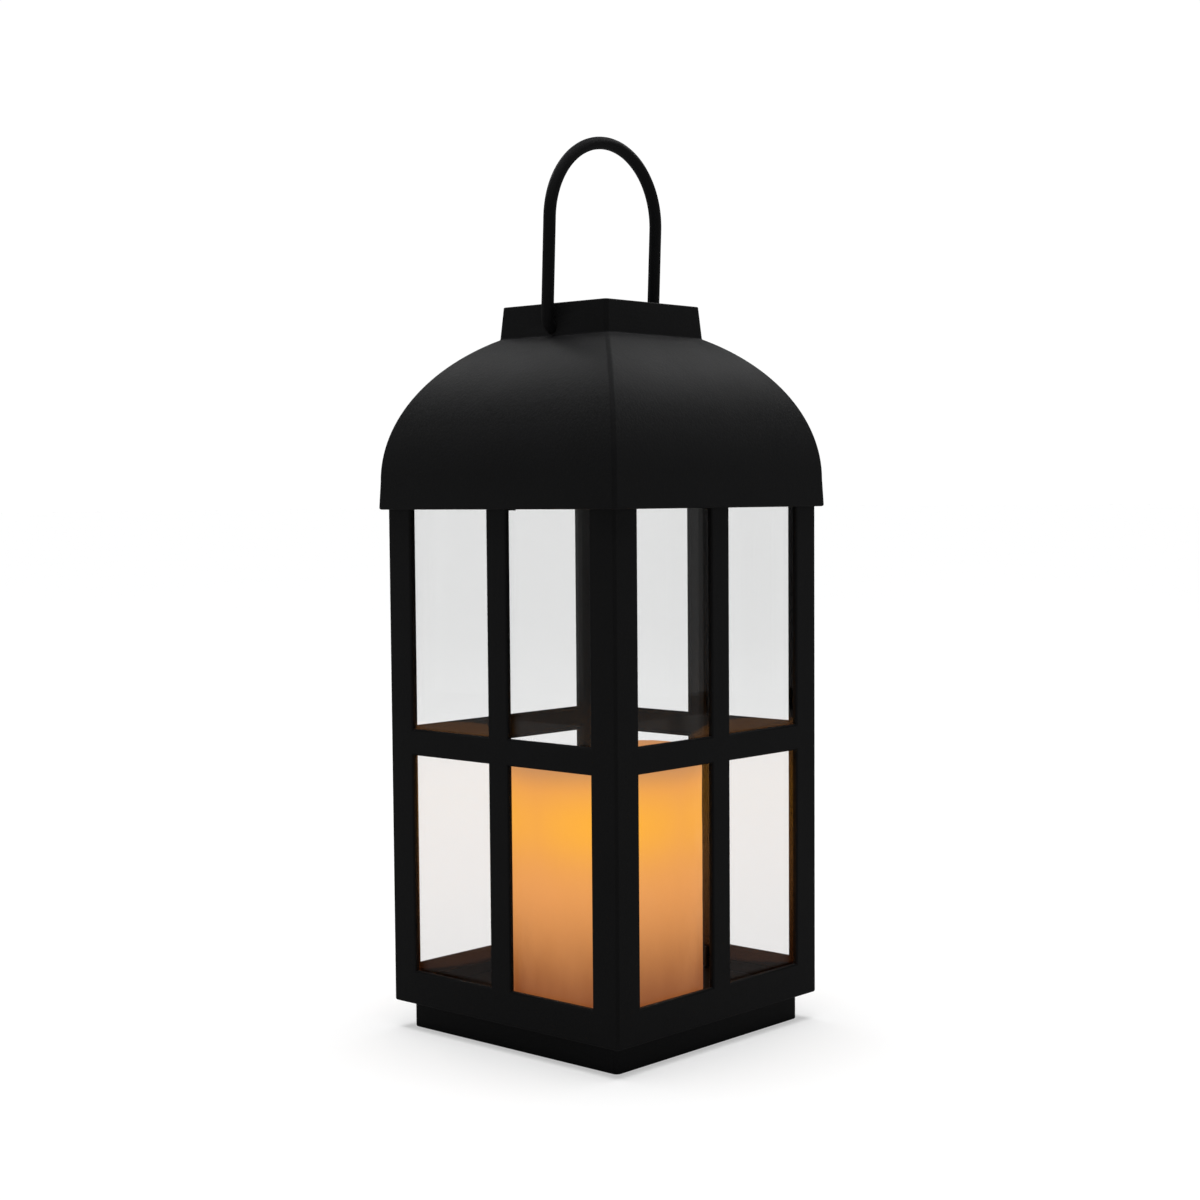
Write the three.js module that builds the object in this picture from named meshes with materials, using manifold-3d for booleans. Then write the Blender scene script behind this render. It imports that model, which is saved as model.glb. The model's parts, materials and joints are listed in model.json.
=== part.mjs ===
// Square solar lantern: a glazed sheet-steel body on a plinth, a domed roof with a bail, and an LED candle.
// Millimetres. +Z is up, the origin is the middle of the resting face, and the front-left side faces -Y.
import * as THREE from "three";
import { mergeVertices } from "three/addons/utils/BufferGeometryUtils.js";
import Module from "manifold-3d";

const wasm = await Module();
wasm.setup();

// Driving dimensions
const GAP = 0.3; // between pieces that touch
const SHEET = 1; // thickness of the folded steel
const BODY_HALF = 57; // half the width over the glazed body
const PLINTH_HALF = 51.8;
const PLINTH_TOP = 10;
const SILL_Z = 23.1; // lower edge of the windows
const RAIL_LOW = 104.7; // mid rail
const RAIL_HIGH = 114.4;
const HEAD_Z = 197.4; // upper edge of the windows
const BODY_TOP = 203.9;
const POST = 12; // width of a corner post on each side
const MUNTIN = 10;
const JAMB = 2; // depth of the folded window edges
const FLANGE = 7; // width of the side's bottom flange

const PANE = 2; // thickness of the glass
const PANE_LOW = 17.5;
const PANE_HIGH = 199.9;
const CLIP_WIDTH = 12;
const CLIP_SHEET = 0.8;

const SKIRT_HALF = 59.65; // half the width over the roof's lower edge
const SKIRT_Z = 196.3;
const DOME_RADIUS = 59.2; // section of each roof panel
const DOME_Z = 206.55; // height of that section's centre
const DOME_OPENING = 27.5; // half the opening under the collar
const COLLAR_TOP = 271.2;
const COLLAR_TOP_HALF = 26.15;
const COLLAR_TAPER = 0.078; // how far each wall leans out for each millimetre down
const COLLAR_FOOT = 254;
const COLLAR_LEDGE = 265;

const WIRE_RADIUS = 2.3;
const HANDLE_SPREAD = 29.3; // from the middle to each leg
const HANDLE_PIVOT_Z = 262.3;
const HANDLE_ARCH_Z = 302.1; // where the legs turn into the arch
const HANDLE_BEND = 3.4;
const HANDLE_PLAY = 0.5; // between the wire and its holes
const HANDLE_END = 23.2; // how far from the middle the feet end
const HANDLE_LEAN = THREE.MathUtils.degToRad(2.5); // the bail stands a little towards +X

const CANDLE_RADIUS = 36.25;
const CANDLE_WALL = 3.2;
const CANDLE_RIM = 104.4; // height of the rim away from its crest and notch
const RIM_CREST = { at: THREE.MathUtils.degToRad(97), narrow: 6, rise: 0.5 };
const RIM_NOTCH = { at: THREE.MathUtils.degToRad(150), narrow: 10, rise: -3.6 };
const LAMP_Z = 73.5;

const FLOOR_LOW = 11.6;
const FLOOR_TOP = FLOOR_LOW + SHEET;
const COVER_THICKNESS = 3; // plastic plate that closes the plinth
const BASE_SCREW_AT = [47, 33];
const CELL_RADIUS = 7.1; // AA size
const CELL_LENGTH = 50.5;
const BOX_HALF = [29.8, 9]; // outside of the battery box
const BOX_TOP = 21.2;
const SWITCH_AT = [10, 26];
const SWITCH_TRAVEL = 3;
const LEAD_RADIUS = 1.2;
const LED_LEAD_RADIUS = 0.8;

// Centre line of the lead from the solar module, inside the roof's back hip, down the back corner post
// and into the base.
const LEAD_ROUTE = [
  [-8, 8, 267],
  [-8, 8, 261.3],
  [-10.5, 10.5, 255.8],
  [-17, 17, 252.6],
  [-26, 26, 252],
  [-35.1, 35.1, 249.2],
  [-43.2, 43.2, 241],
  [-49.2, 49.2, 230.5],
  [-52.9, 52.9, 219],
  [-54.2, 54.2, 207],
  [-54.35, 54.35, 190],
  [-54.35, 54.35, 150],
  [-54.35, 54.35, 110],
  [-54.35, 54.35, 70],
  [-54.35, 54.35, 34],
  [-54.35, 54.35, 20.6],
  [-53.7, 53.7, 16.4],
  [-51.4, 51.4, 14.7],
  [-48, 48, 14.9],
  [-44.6, 44.6, 16.4],
  [-41.9, 41.9, 16.4],
  [-40.3, 40.3, 14],
  [-40, 40, 11.6],
  [-40, 40, 9.4],
  [-39, 39.2, 7],
  [-35.5, 36.6, 5.6],
  [-30, 32.5, 5.4],
  [-24.5, 28.4, 6.3],
  [-19.6, 26.4, 7.2],
];
const GROMMET_AT = [-40, 40];
const GROMMET_HOLE = 2.9;
const LED_ROUTE = [
  [0, 22, 8.4],
  [0, 22, 16],
  [0, 19, 23],
  [0, 11, 29],
  [0, 6.8, 36],
  [0, 6.3, 50],
  [0, 6.3, 62],
  [0, 6.3, 73.1],
];

// Materials
const finish = (color, roughness, metalness) => ({ color, roughness, metalness });
const BLACK_STEEL = finish(0x101012, 0.55, 0.4);
const CLEAR_GLASS = finish(0xdfe6e6, 0.05, 0);
const WAX = finish(0xe0a45c, 0.6, 0);
const BLACK_PLASTIC = finish(0x1a1a1b, 0.6, 0);
const WHITE_PLASTIC = finish(0xd8d6cf, 0.55, 0);
const SOLAR_CELL = finish(0x101a33, 0.25, 0.2);
const CLEAR_RESIN = finish(0xcfd6da, 0.1, 0);
const LEAD_JACKET = finish(0x121212, 0.7, 0);
const BOARD_GREEN = finish(0x1f5a34, 0.5, 0);
const CELL_WRAP = finish(0x2f7a3f, 0.35, 0.1);
const PLATED_STEEL = finish(0xb4b4b0, 0.3, 0.9);
const RUBBER = finish(0x161616, 0.85, 0);
const LAMP_AMBER = finish(0xffb347, 0.15, 0);

// Booleans and shapes
function solidOf(geometry) {
  const bare = new THREE.BufferGeometry();
  bare.setAttribute("position", geometry.getAttribute("position"));
  bare.setIndex(geometry.index);
  const merged = mergeVertices(bare, 1e-4);
  return new wasm.Manifold(
    new wasm.Mesh({
      numProp: 3,
      vertProperties: new Float32Array(merged.attributes.position.array),
      triVerts: new Uint32Array(merged.index.array),
    }),
  );
}

function geometryOf(solid) {
  const mesh = solid.getMesh();
  const geometry = new THREE.BufferGeometry();
  geometry.setAttribute("position", new THREE.BufferAttribute(mesh.vertProperties, 3));
  geometry.setIndex(new THREE.BufferAttribute(mesh.triVerts, 1));
  geometry.computeVertexNormals();
  return geometry;
}

const join = (first, ...others) =>
  geometryOf(others.reduce((made, other) => made.add(solidOf(other)), solidOf(first)));
const cut = (first, ...others) =>
  geometryOf(others.reduce((made, other) => made.subtract(solidOf(other)), solidOf(first)));
const keep = (first, other) => geometryOf(solidOf(first).intersect(solidOf(other)));

// A block from its lowest and highest corners.
function block(low, high) {
  const size = high.map((value, axis) => value - low[axis]);
  const geometry = new THREE.BoxGeometry(...size);
  return geometry.translate(...low.map((value, axis) => value + size[axis] / 2));
}

// A block centred on the Z axis.
const slab = (halfX, halfY, low, high) => block([-halfX, -halfY, low], [halfX, halfY, high]);

// An upright round bar.
function rod(radius, low, high, [x, y] = [0, 0], sides = 16) {
  const geometry = new THREE.CylinderGeometry(radius, radius, high - low, sides);
  return geometry.rotateX(Math.PI / 2).translate(x, y, (low + high) / 2);
}

// A body of revolution about Z from [radius, z] points, listed counter-clockwise about its section.
function turned(points, segments = 20, start = 0) {
  const profile = points.map(([radius, z]) => new THREE.Vector2(radius, z));
  return new THREE.LatheGeometry(profile, segments, start).rotateX(Math.PI / 2);
}

// The same section swept round a square, whose half width takes the radius's place.
function squareRing(points) {
  const corners = [...points, points[0]].map(([half, z]) => [half * Math.SQRT2, z]);
  return turned(corners, 4, Math.PI / 4);
}

// An outline in the Y-Z plane, given as a shape or as [y, z] points, extruded along X about the middle.
function along(outline, width) {
  const shape = Array.isArray(outline)
    ? new THREE.Shape(outline.map(([y, z]) => new THREE.Vector2(y, z)))
    : outline;
  const geometry = new THREE.ExtrudeGeometry(shape, { depth: width, bevelEnabled: false, curveSegments: 14 });
  geometry.translate(0, 0, -width / 2);
  return geometry.applyMatrix4(new THREE.Matrix4().set(0, 0, 1, 0, 1, 0, 0, 0, 0, 1, 0, 0, 0, 0, 0, 1));
}

// A round bar along a curve.
function swept(curve, radius, steps, sides) {
  const corners = Array.from({ length: sides }, (_, i) => {
    const turn = (2 * Math.PI * i) / sides;
    return new THREE.Vector2(radius * Math.cos(turn), radius * Math.sin(turn));
  });
  return new THREE.ExtrudeGeometry(new THREE.Shape(corners), { steps, extrudePath: curve });
}

const curveThrough = (points) =>
  new THREE.CatmullRomCurve3(points.map((point) => new THREE.Vector3(...point)));

// What lies between a side's two mitre planes.
function sideWedge() {
  const far = 2 * BODY_HALF;
  const outline = new THREE.Shape([
    new THREE.Vector2(0, -GAP),
    new THREE.Vector2(-far, -far - GAP),
    new THREE.Vector2(far, -far - GAP),
  ]);
  const wedge = new THREE.ExtrudeGeometry(outline, { depth: 2 * COLLAR_TOP, bevelEnabled: false });
  return wedge.translate(0, 0, -10);
}

// The body's sides. Each is drawn facing -Y.
const windowsX = [
  [-BODY_HALF + POST, -MUNTIN / 2],
  [MUNTIN / 2, BODY_HALF - POST],
];
const windowsZ = [
  [SILL_Z, RAIL_LOW],
  [RAIL_HIGH, HEAD_Z],
];

function sideFrame() {
  const foot = PLINTH_TOP + GAP;
  const sheet = block([-BODY_HALF, -BODY_HALF, foot], [BODY_HALF, -BODY_HALF + SHEET, BODY_TOP]);
  const flange = block([-BODY_HALF, -BODY_HALF, foot], [BODY_HALF, -BODY_HALF + FLANGE, foot + SHEET]);
  const folds = [];
  const lights = [];
  for (const [left, right] of windowsX) {
    for (const [low, high] of windowsZ) {
      const face = -BODY_HALF;
      folds.push(block([left - SHEET, face, low - SHEET], [right + SHEET, face + JAMB, high + SHEET]));
      lights.push(block([left, face - 1, low], [right, face + JAMB + 1, high]));
    }
  }
  return keep(cut(join(sheet, flange, ...folds), ...lights), sideWedge());
}

const paneOuter = -BODY_HALF + JAMB + GAP;
const paneInner = paneOuter + PANE;
const pane = () =>
  block([paneInner + GAP, paneOuter, PANE_LOW], [-paneInner - GAP, paneInner, PANE_HIGH]);

function lowerClip() {
  const back = paneInner + GAP;
  const seat = PANE_LOW - GAP;
  const foot = FLOOR_TOP + GAP;
  const outline = [
    [paneOuter - CLIP_SHEET, seat - CLIP_SHEET],
    [back, seat - CLIP_SHEET],
    [back, foot],
    [back + 5.4, foot],
    [back + 5.4, foot + CLIP_SHEET],
    [back + CLIP_SHEET, foot + CLIP_SHEET],
    [back + CLIP_SHEET, PANE_LOW + 4],
    [back, PANE_LOW + 4],
    [back, seat],
    [paneOuter - CLIP_SHEET, seat],
  ];
  return along(outline, CLIP_WIDTH);
}

function upperClip() {
  const back = paneInner + GAP;
  const seat = PANE_HIGH + GAP;
  const wall = -BODY_HALF + SHEET + GAP;
  const outline = [
    [wall, seat],
    [back, seat],
    [back, PANE_HIGH - 4],
    [back + CLIP_SHEET, PANE_HIGH - 4],
    [back + CLIP_SHEET, seat + CLIP_SHEET],
    [wall + CLIP_SHEET, seat + CLIP_SHEET],
    [wall + CLIP_SHEET, BODY_TOP - 0.5],
    [wall, BODY_TOP - 0.5],
  ];
  return along(outline, CLIP_WIDTH);
}

// One roof panel: a flared skirt with a folded lip, then a quarter-round up to the collar.
function roofPanel() {
  const inner = DOME_RADIUS - SHEET;
  const lip = -BODY_HALF - GAP;
  const outerEnd = Math.PI - Math.acos(DOME_OPENING / DOME_RADIUS);
  const innerEnd = Math.PI - Math.acos(DOME_OPENING / inner);
  const outline = new THREE.Shape();
  outline.moveTo(-SKIRT_HALF, SKIRT_Z);
  outline.lineTo(lip, SKIRT_Z);
  outline.lineTo(lip, SKIRT_Z + SHEET);
  outline.lineTo(-SKIRT_HALF + SHEET, SKIRT_Z + SHEET);
  outline.lineTo(-inner, DOME_Z);
  outline.absarc(0, DOME_Z, inner, Math.PI, innerEnd, true);
  outline.absarc(0, DOME_Z, DOME_RADIUS, outerEnd, Math.PI, false);
  return keep(along(outline, 4 * DOME_RADIUS), sideWedge());
}

// The neck on the dome, with the flange that is welded under the panels and the ledge for the solar tray.
const collarHalf = (z) => COLLAR_TOP_HALF + COLLAR_TAPER * (COLLAR_TOP - z);

function collar() {
  const ledgeTop = COLLAR_LEDGE + CLIP_SHEET;
  const inside = (z) => collarHalf(z) - SHEET;
  const ring = squareRing([
    [inside(COLLAR_FOOT), COLLAR_FOOT],
    [31.5, COLLAR_FOOT],
    [31.5, COLLAR_FOOT + SHEET],
    [collarHalf(COLLAR_FOOT + SHEET), COLLAR_FOOT + SHEET],
    [collarHalf(COLLAR_TOP), COLLAR_TOP],
    [inside(COLLAR_TOP), COLLAR_TOP],
    [inside(ledgeTop), ledgeTop],
    [22, ledgeTop],
    [22, COLLAR_LEDGE],
    [inside(COLLAR_LEDGE), COLLAR_LEDGE],
  ]);
  const hole = WIRE_RADIUS + HANDLE_PLAY;
  const bore = new THREE.CylinderGeometry(hole, hole, 4 * COLLAR_TOP_HALF, 24);
  return cut(ring, bore.translate(0, 0, HANDLE_PIVOT_Z));
}

function handle() {
  const at = (y, z) => new THREE.Vector3(0, y, z);
  const bendStart = HANDLE_SPREAD - HANDLE_BEND;
  const bendEnd = HANDLE_PIVOT_Z + HANDLE_BEND;
  const arch = Array.from({ length: 13 }, (_, i) => {
    const turn = Math.PI * (1 - i / 12);
    return at(HANDLE_SPREAD * Math.cos(turn), HANDLE_ARCH_Z + HANDLE_SPREAD * Math.sin(turn));
  });
  const foot = (side) => [
    at(side * HANDLE_END, HANDLE_PIVOT_Z),
    at(side * bendStart, HANDLE_PIVOT_Z),
    at(side * HANDLE_SPREAD, HANDLE_PIVOT_Z),
    at(side * HANDLE_SPREAD, bendEnd),
    at(side * HANDLE_SPREAD, HANDLE_ARCH_Z),
  ];
  const near = foot(-1);
  const far = foot(1).reverse();
  const path = new THREE.CurvePath();
  path.add(new THREE.LineCurve3(near[0], near[1]));
  path.add(new THREE.QuadraticBezierCurve3(near[1], near[2], near[3]));
  path.add(new THREE.LineCurve3(near[3], near[4]));
  path.add(new THREE.CatmullRomCurve3(arch));
  path.add(new THREE.LineCurve3(far[0], far[1]));
  path.add(new THREE.QuadraticBezierCurve3(far[1], far[2], far[3]));
  path.add(new THREE.LineCurve3(far[3], far[4]));
  const wire = swept(path, WIRE_RADIUS, 90, 10).translate(0, 0, -HANDLE_PIVOT_Z);
  return wire.rotateY(HANDLE_LEAN).translate(0, 0, HANDLE_PIVOT_Z);
}

// The solar module, in the collar's mouth.
const trayLow = COLLAR_LEDGE + CLIP_SHEET + GAP;
const trayHalf = 24.8;
const panelHalf = 23.2;
const panelLow = trayLow + 1.5;

function solarTray() {
  const body = slab(trayHalf, trayHalf, trayLow, trayLow + 4.5);
  const recess = slab(panelHalf + 0.4, panelHalf + 0.4, trayLow + 1.2, COLLAR_TOP);
  const outlet = rod(LEAD_RADIUS + GAP, trayLow - 1, trayLow + 2, LEAD_ROUTE[0]);
  return cut(body, recess, outlet);
}

// A saddle round the lead where it turns along the roof's hip.
function leadClip(curve, place) {
  const at = curve.getPointAt(place);
  const ahead = curve.getTangentAt(place);
  const outline = new THREE.Shape();
  outline.absarc(0, 0, 2.3, 0, 2 * Math.PI);
  const bore = new THREE.Path();
  bore.absarc(0, 0, LEAD_RADIUS + GAP, 0, 2 * Math.PI);
  outline.holes.push(bore);
  const geometry = new THREE.ExtrudeGeometry(outline, { depth: 3, bevelEnabled: false, curveSegments: 8 });
  geometry.translate(0, 0, -1.5);
  const aim = new THREE.Quaternion().setFromUnitVectors(new THREE.Vector3(0, 0, 1), ahead);
  return geometry.applyQuaternion(aim).translate(at.x, at.y, at.z);
}

function grommet() {
  const bore = LEAD_RADIUS + 0.6;
  const neck = GROMMET_HOLE - GAP;
  const outline = [
    [bore, FLOOR_LOW - 1],
    [3.6, FLOOR_LOW - 1],
    [3.6, FLOOR_LOW - GAP],
    [neck, FLOOR_LOW - GAP],
    [neck, FLOOR_TOP + GAP],
    [3.4, FLOOR_TOP + GAP],
    [3, FLOOR_TOP + 0.9],
    [bore, FLOOR_TOP + 0.9],
    [bore, FLOOR_LOW - 1],
  ];
  return turned(outline).translate(...GROMMET_AT, 0);
}

// How far a crest or a notch lifts the candle's rim in a direction.
const rimLobe = (turn, { at, narrow, rise }) => rise * Math.exp(narrow * (Math.cos(turn - at) - 1));

// The candle: a hollow shell with a sunken top and an uneven rim, over the lamp.
function candleShell() {
  const foot = FLOOR_TOP + GAP;
  const hollow = CANDLE_RADIUS - CANDLE_WALL;
  const geometry = turned(
    [
      [0, 92],
      [hollow - 4, 92],
      [hollow, 88],
      [hollow, foot],
      [CANDLE_RADIUS - 0.6, foot],
      [CANDLE_RADIUS, foot + 0.6],
      [CANDLE_RADIUS, CANDLE_RIM - 1.2],
      [CANDLE_RADIUS - 0.5, CANDLE_RIM - 0.3],
      [CANDLE_RADIUS - 1.6, CANDLE_RIM],
      [CANDLE_RADIUS - 3, CANDLE_RIM - 1],
      [CANDLE_RADIUS - 5, CANDLE_RIM - 4.5],
      [CANDLE_RADIUS - 10, CANDLE_RIM - 7.5],
      [0, CANDLE_RIM - 8.5],
    ],
    40,
  );
  const points = geometry.attributes.position;
  for (let i = 0; i < points.count; i++) {
    const turn = Math.atan2(points.getY(i), points.getX(i));
    const near = THREE.MathUtils.smoothstep(Math.hypot(points.getX(i), points.getY(i)), 26, 33);
    const high = THREE.MathUtils.smoothstep(points.getZ(i), CANDLE_RIM - 8, CANDLE_RIM - 1.5);
    points.setZ(i, points.getZ(i) + near * high * (rimLobe(turn, RIM_CREST) + rimLobe(turn, RIM_NOTCH)));
  }
  return geometry;
}

function candleBase() {
  const foot = FLOOR_TOP + GAP;
  const disc = rod(CANDLE_RADIUS - CANDLE_WALL - 0.4, foot, foot + 2.5, [0, 0], 40);
  const boxHole = slab(BOX_HALF[0] + GAP, BOX_HALF[1] + GAP, foot - 1, foot + 4);
  return cut(disc, boxHole, rod(1.8, foot - 1, foot + 4, LED_ROUTE[0]));
}

const ledStem = () =>
  turned([
    [2, BOX_TOP + GAP],
    [8, BOX_TOP + GAP],
    [8, BOX_TOP + 2],
    [5, BOX_TOP + 3.5],
    [4.6, LAMP_Z - GAP],
    [2, LAMP_Z - GAP],
    [2, BOX_TOP + GAP],
  ]);

const ledLamp = () => {
  const foot = LAMP_Z + 1.2 + GAP;
  const round = (turn) => [2.5 * Math.cos(turn), foot + 6 + 2.5 * Math.sin(turn)];
  return turned([
    [0, foot],
    [2.9, foot],
    [2.9, foot + 1],
    [2.5, foot + 1],
    ...[0, 1, 2, 3].map((i) => round((i * Math.PI) / 8)),
    [0, foot + 8.5],
  ]);
};

// The base: plinth, floor, bottom plate and what is fixed on it.
const baseScrews = [
  [1, 1],
  [-1, 1],
  [-1, -1],
  [1, -1],
].map(([sideX, sideY]) => [sideX * BASE_SCREW_AT[0], sideY * BASE_SCREW_AT[1]]);
const screwHoles = (radius, low, high) => baseScrews.map((place) => rod(radius, low, high, place));

function plinth() {
  const inner = 44;
  const ring = squareRing([
    [PLINTH_HALF - SHEET, 0],
    [PLINTH_HALF, 0],
    [PLINTH_HALF, PLINTH_TOP],
    [inner, PLINTH_TOP],
    [inner, PLINTH_TOP - SHEET],
    [PLINTH_HALF - SHEET, PLINTH_TOP - SHEET],
  ]);
  return cut(ring, ...screwHoles(1.7, PLINTH_TOP - 2, PLINTH_TOP + 1));
}

function floorTray() {
  const half = BODY_HALF - SHEET - 0.4;
  const plate = slab(half, half, FLOOR_LOW, FLOOR_TOP);
  const through = [FLOOR_LOW - 1, FLOOR_TOP + 1];
  return cut(
    plate,
    slab(BOX_HALF[0] + GAP, BOX_HALF[1] + GAP, ...through),
    rod(GROMMET_HOLE, ...through, GROMMET_AT),
    rod(1.8, ...through, LED_ROUTE[0]),
    ...screwHoles(1.7, ...through),
  );
}

const boardFeet = [
  [-15, 18.6],
  [15, 18.6],
  [-15, 33.4],
  [15, 33.4],
];
const BATTERY_LID_HALF = [37, 11];

function bottomCover() {
  const half = PLINTH_HALF - SHEET - 0.4;
  const [x, y] = SWITCH_AT;
  const slot = SWITCH_TRAVEL / 2 + 2.5 + GAP;
  const bosses = baseScrews.map((place) => rod(3.2, 1, PLINTH_TOP - SHEET - GAP, place));
  const feet = boardFeet.map((place) => rod(2, 1, 6.4, place, 12));
  return cut(
    join(slab(half, half, 0, COVER_THICKNESS), ...bosses, ...feet),
    slab(BATTERY_LID_HALF[0] + 0.4, BATTERY_LID_HALF[1] + 0.4, -1, COVER_THICKNESS + 1),
    block([x - slot, y - 1.7, -1], [x + slot, y + 1.7, COVER_THICKNESS + 1]),
    block([x - slot - 2.5, y - 4, -1], [x + slot + 2.5, y + 4, 1.2]),
    ...screwHoles(1.7, -1, PLINTH_TOP),
    ...screwHoles(3, -1, 2),
  );
}

function screw(headRadius, shankRadius, headLow, shankLow, tip) {
  return turned(
    [
      [0, headLow + 0.5],
      [headRadius * 0.45, headLow + 0.5],
      [headRadius * 0.45, headLow],
      [headRadius * 0.85, headLow],
      [headRadius, headLow + 0.3],
      [headRadius, shankLow],
      [shankRadius, shankLow],
      [shankRadius, tip - 0.8],
      [shankRadius * 0.3, tip],
      [0, tip],
    ],
    12,
  );
}

const EAR_SCREW_X = 33.4;
const earEnds = [-EAR_SCREW_X, EAR_SCREW_X];

function batteryBox() {
  const [halfX, halfY] = BOX_HALF;
  const low = COVER_THICKNESS + 0.2;
  const wall = 1.4;
  return cut(
    join(slab(halfX, halfY, low, BOX_TOP), slab(halfX + 6.8, halfY, low, low + 1.8)),
    slab(halfX - wall, halfY - wall, low - 1, BOX_TOP - wall),
    ...earEnds.map((x) => rod(1.6, low - 1, low + 3, [x, 0])),
  );
}

function batteryLid() {
  const low = 0.3;
  return cut(
    slab(...BATTERY_LID_HALF, low, low + 2.6),
    ...earEnds.map((x) => rod(1.6, -1, 4, [x, 0])),
    ...earEnds.map((x) => rod(2.7, -1, low + 1.9, [x, 0])),
  );
}

const cellZ = COVER_THICKNESS + 9.2;

function batteryCell() {
  const body = CELL_LENGTH - 1.2;
  const upright = turned([
    [0, 0],
    [CELL_RADIUS - 0.5, 0],
    [CELL_RADIUS, 0.5],
    [CELL_RADIUS, body - 0.5],
    [CELL_RADIUS - 0.5, body],
    [2.7, body],
    [2.7, CELL_LENGTH],
    [0, CELL_LENGTH],
  ]);
  return upright.rotateY(Math.PI / 2).translate(-24, 0, cellZ);
}

function batterySpring() {
  const turns = 3.5;
  const points = Array.from({ length: 29 }, (_, i) => {
    const along = i / 28;
    const turn = 2 * Math.PI * turns * along;
    const radius = 5.2 - 1.8 * along;
    return [-27.8 + 3.1 * along, radius * Math.cos(turn), cellZ + radius * Math.sin(turn)];
  });
  return swept(curveThrough(points), 0.3, 56, 5);
}

function circuitBoard() {
  const [low, high] = [6.7, 8];
  return join(
    block([-18, 16, low], [18, 36, high]),
    block([-12, 22, high - 0.2], [-7, 28, high + 1.4]),
    block([6, 28, high - 0.2], [11, 33, high + 2]),
    block([-4, 29, high - 0.2], [0, 32, high + 1]),
  );
}

function switchBody() {
  const [x, y] = SWITCH_AT;
  const half = SWITCH_TRAVEL / 2 + 0.8 + GAP;
  return cut(
    block([x - 4.8, y - 2.3, 4.3], [x + 4.8, y + 2.3, 6.4]),
    block([x - half, y - 1, 4], [x + half, y + 1, 5.6]),
  );
}

function switchSlider() {
  const [x, y] = [SWITCH_AT[0] - SWITCH_TRAVEL / 2, SWITCH_AT[1]];
  return join(
    block([x - 2.5, y - 1.4, 0.4], [x + 2.5, y + 1.4, 3.5]),
    block([x - 4.2, y - 2.5, 3.3], [x + 4.2, y + 2.5, 4]),
    block([x - 0.8, y - 0.7, 3.8], [x + 0.8, y + 0.7, 5.3]),
  );
}

// The assembly
const lantern = new THREE.Group();

function add(name, geometry, look, parent = lantern) {
  const mesh = new THREE.Mesh(geometry, new THREE.MeshStandardMaterial(look));
  mesh.name = name;
  parent.add(mesh);
  return mesh;
}

["front_left", "front_right", "back_right", "back_left"].forEach((side, turn) => {
  const group = new THREE.Group();
  group.rotation.z = (turn * Math.PI) / 2;
  lantern.add(group);
  add(`side_frame_${side}`, sideFrame(), BLACK_STEEL, group);
  add(`glass_${side}`, pane(), CLEAR_GLASS, group);
  add(`glass_clip_lower_${side}`, lowerClip(), BLACK_STEEL, group);
  add(`glass_clip_upper_${side}`, upperClip(), BLACK_STEEL, group);
  add(`roof_panel_${side}`, roofPanel(), BLACK_STEEL, group);
});
add("collar", collar(), BLACK_STEEL);
add("handle", handle(), BLACK_STEEL);

add("solar_tray", solarTray(), BLACK_PLASTIC);
add("solar_panel", slab(panelHalf, panelHalf, panelLow, panelLow + 1.2), SOLAR_CELL);
add("solar_cover", slab(panelHalf, panelHalf, panelLow + 1.5, panelLow + 2.7), CLEAR_RESIN);
const leadCurve = curveThrough(LEAD_ROUTE);
add("solar_lead", swept(leadCurve, LEAD_RADIUS, 100, 8), LEAD_JACKET);
add("lead_clip_upper", leadClip(leadCurve, 0.15), BLACK_PLASTIC);
add("lead_clip_lower", leadClip(leadCurve, 0.22), BLACK_PLASTIC);
add("lead_grommet", grommet(), RUBBER);

add("candle_shell", candleShell(), WAX);
add("candle_base", candleBase(), WHITE_PLASTIC);
add("led_stem", ledStem(), WHITE_PLASTIC);
add("led_board", rod(8, LAMP_Z, LAMP_Z + 1.2), BOARD_GREEN);
add("led_lamp", ledLamp(), LAMP_AMBER);
add("led_lead", swept(curveThrough(LED_ROUTE), LED_LEAD_RADIUS, 26, 8), LEAD_JACKET);

add("plinth", plinth(), BLACK_STEEL);
add("floor_tray", floorTray(), BLACK_STEEL);
add("bottom_cover", bottomCover(), BLACK_PLASTIC);
baseScrews.forEach((place, i) => {
  const piece = screw(2.7, 1.4, 0.4, 1.7, FLOOR_TOP + 0.9);
  add(`bottom_screw_${i + 1}`, piece, PLATED_STEEL).position.set(...place, 0);
});
add("battery_box", batteryBox(), BLACK_PLASTIC);
add("battery_cell", batteryCell(), CELL_WRAP);
add("battery_spring", batterySpring(), PLATED_STEEL);
add("battery_contact", block([26.8, -5, cellZ - 5], [27.4, 5, cellZ + 5]), PLATED_STEEL);
add("battery_cover", batteryLid(), BLACK_PLASTIC);
earEnds.forEach((x, i) => {
  const piece = screw(2.3, 1.25, 0.6, 1.8, 7);
  add(`battery_screw_${i + 1}`, piece, PLATED_STEEL).position.set(x, 0, 0);
});
add("circuit_board", circuitBoard(), BOARD_GREEN);
add("switch_body", switchBody(), BLACK_PLASTIC);
add("switch_slider", switchSlider(), WHITE_PLASTIC);

export default lantern;
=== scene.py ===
import json
import math

import bmesh
import bpy
from mathutils import Matrix, Vector, noise


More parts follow.
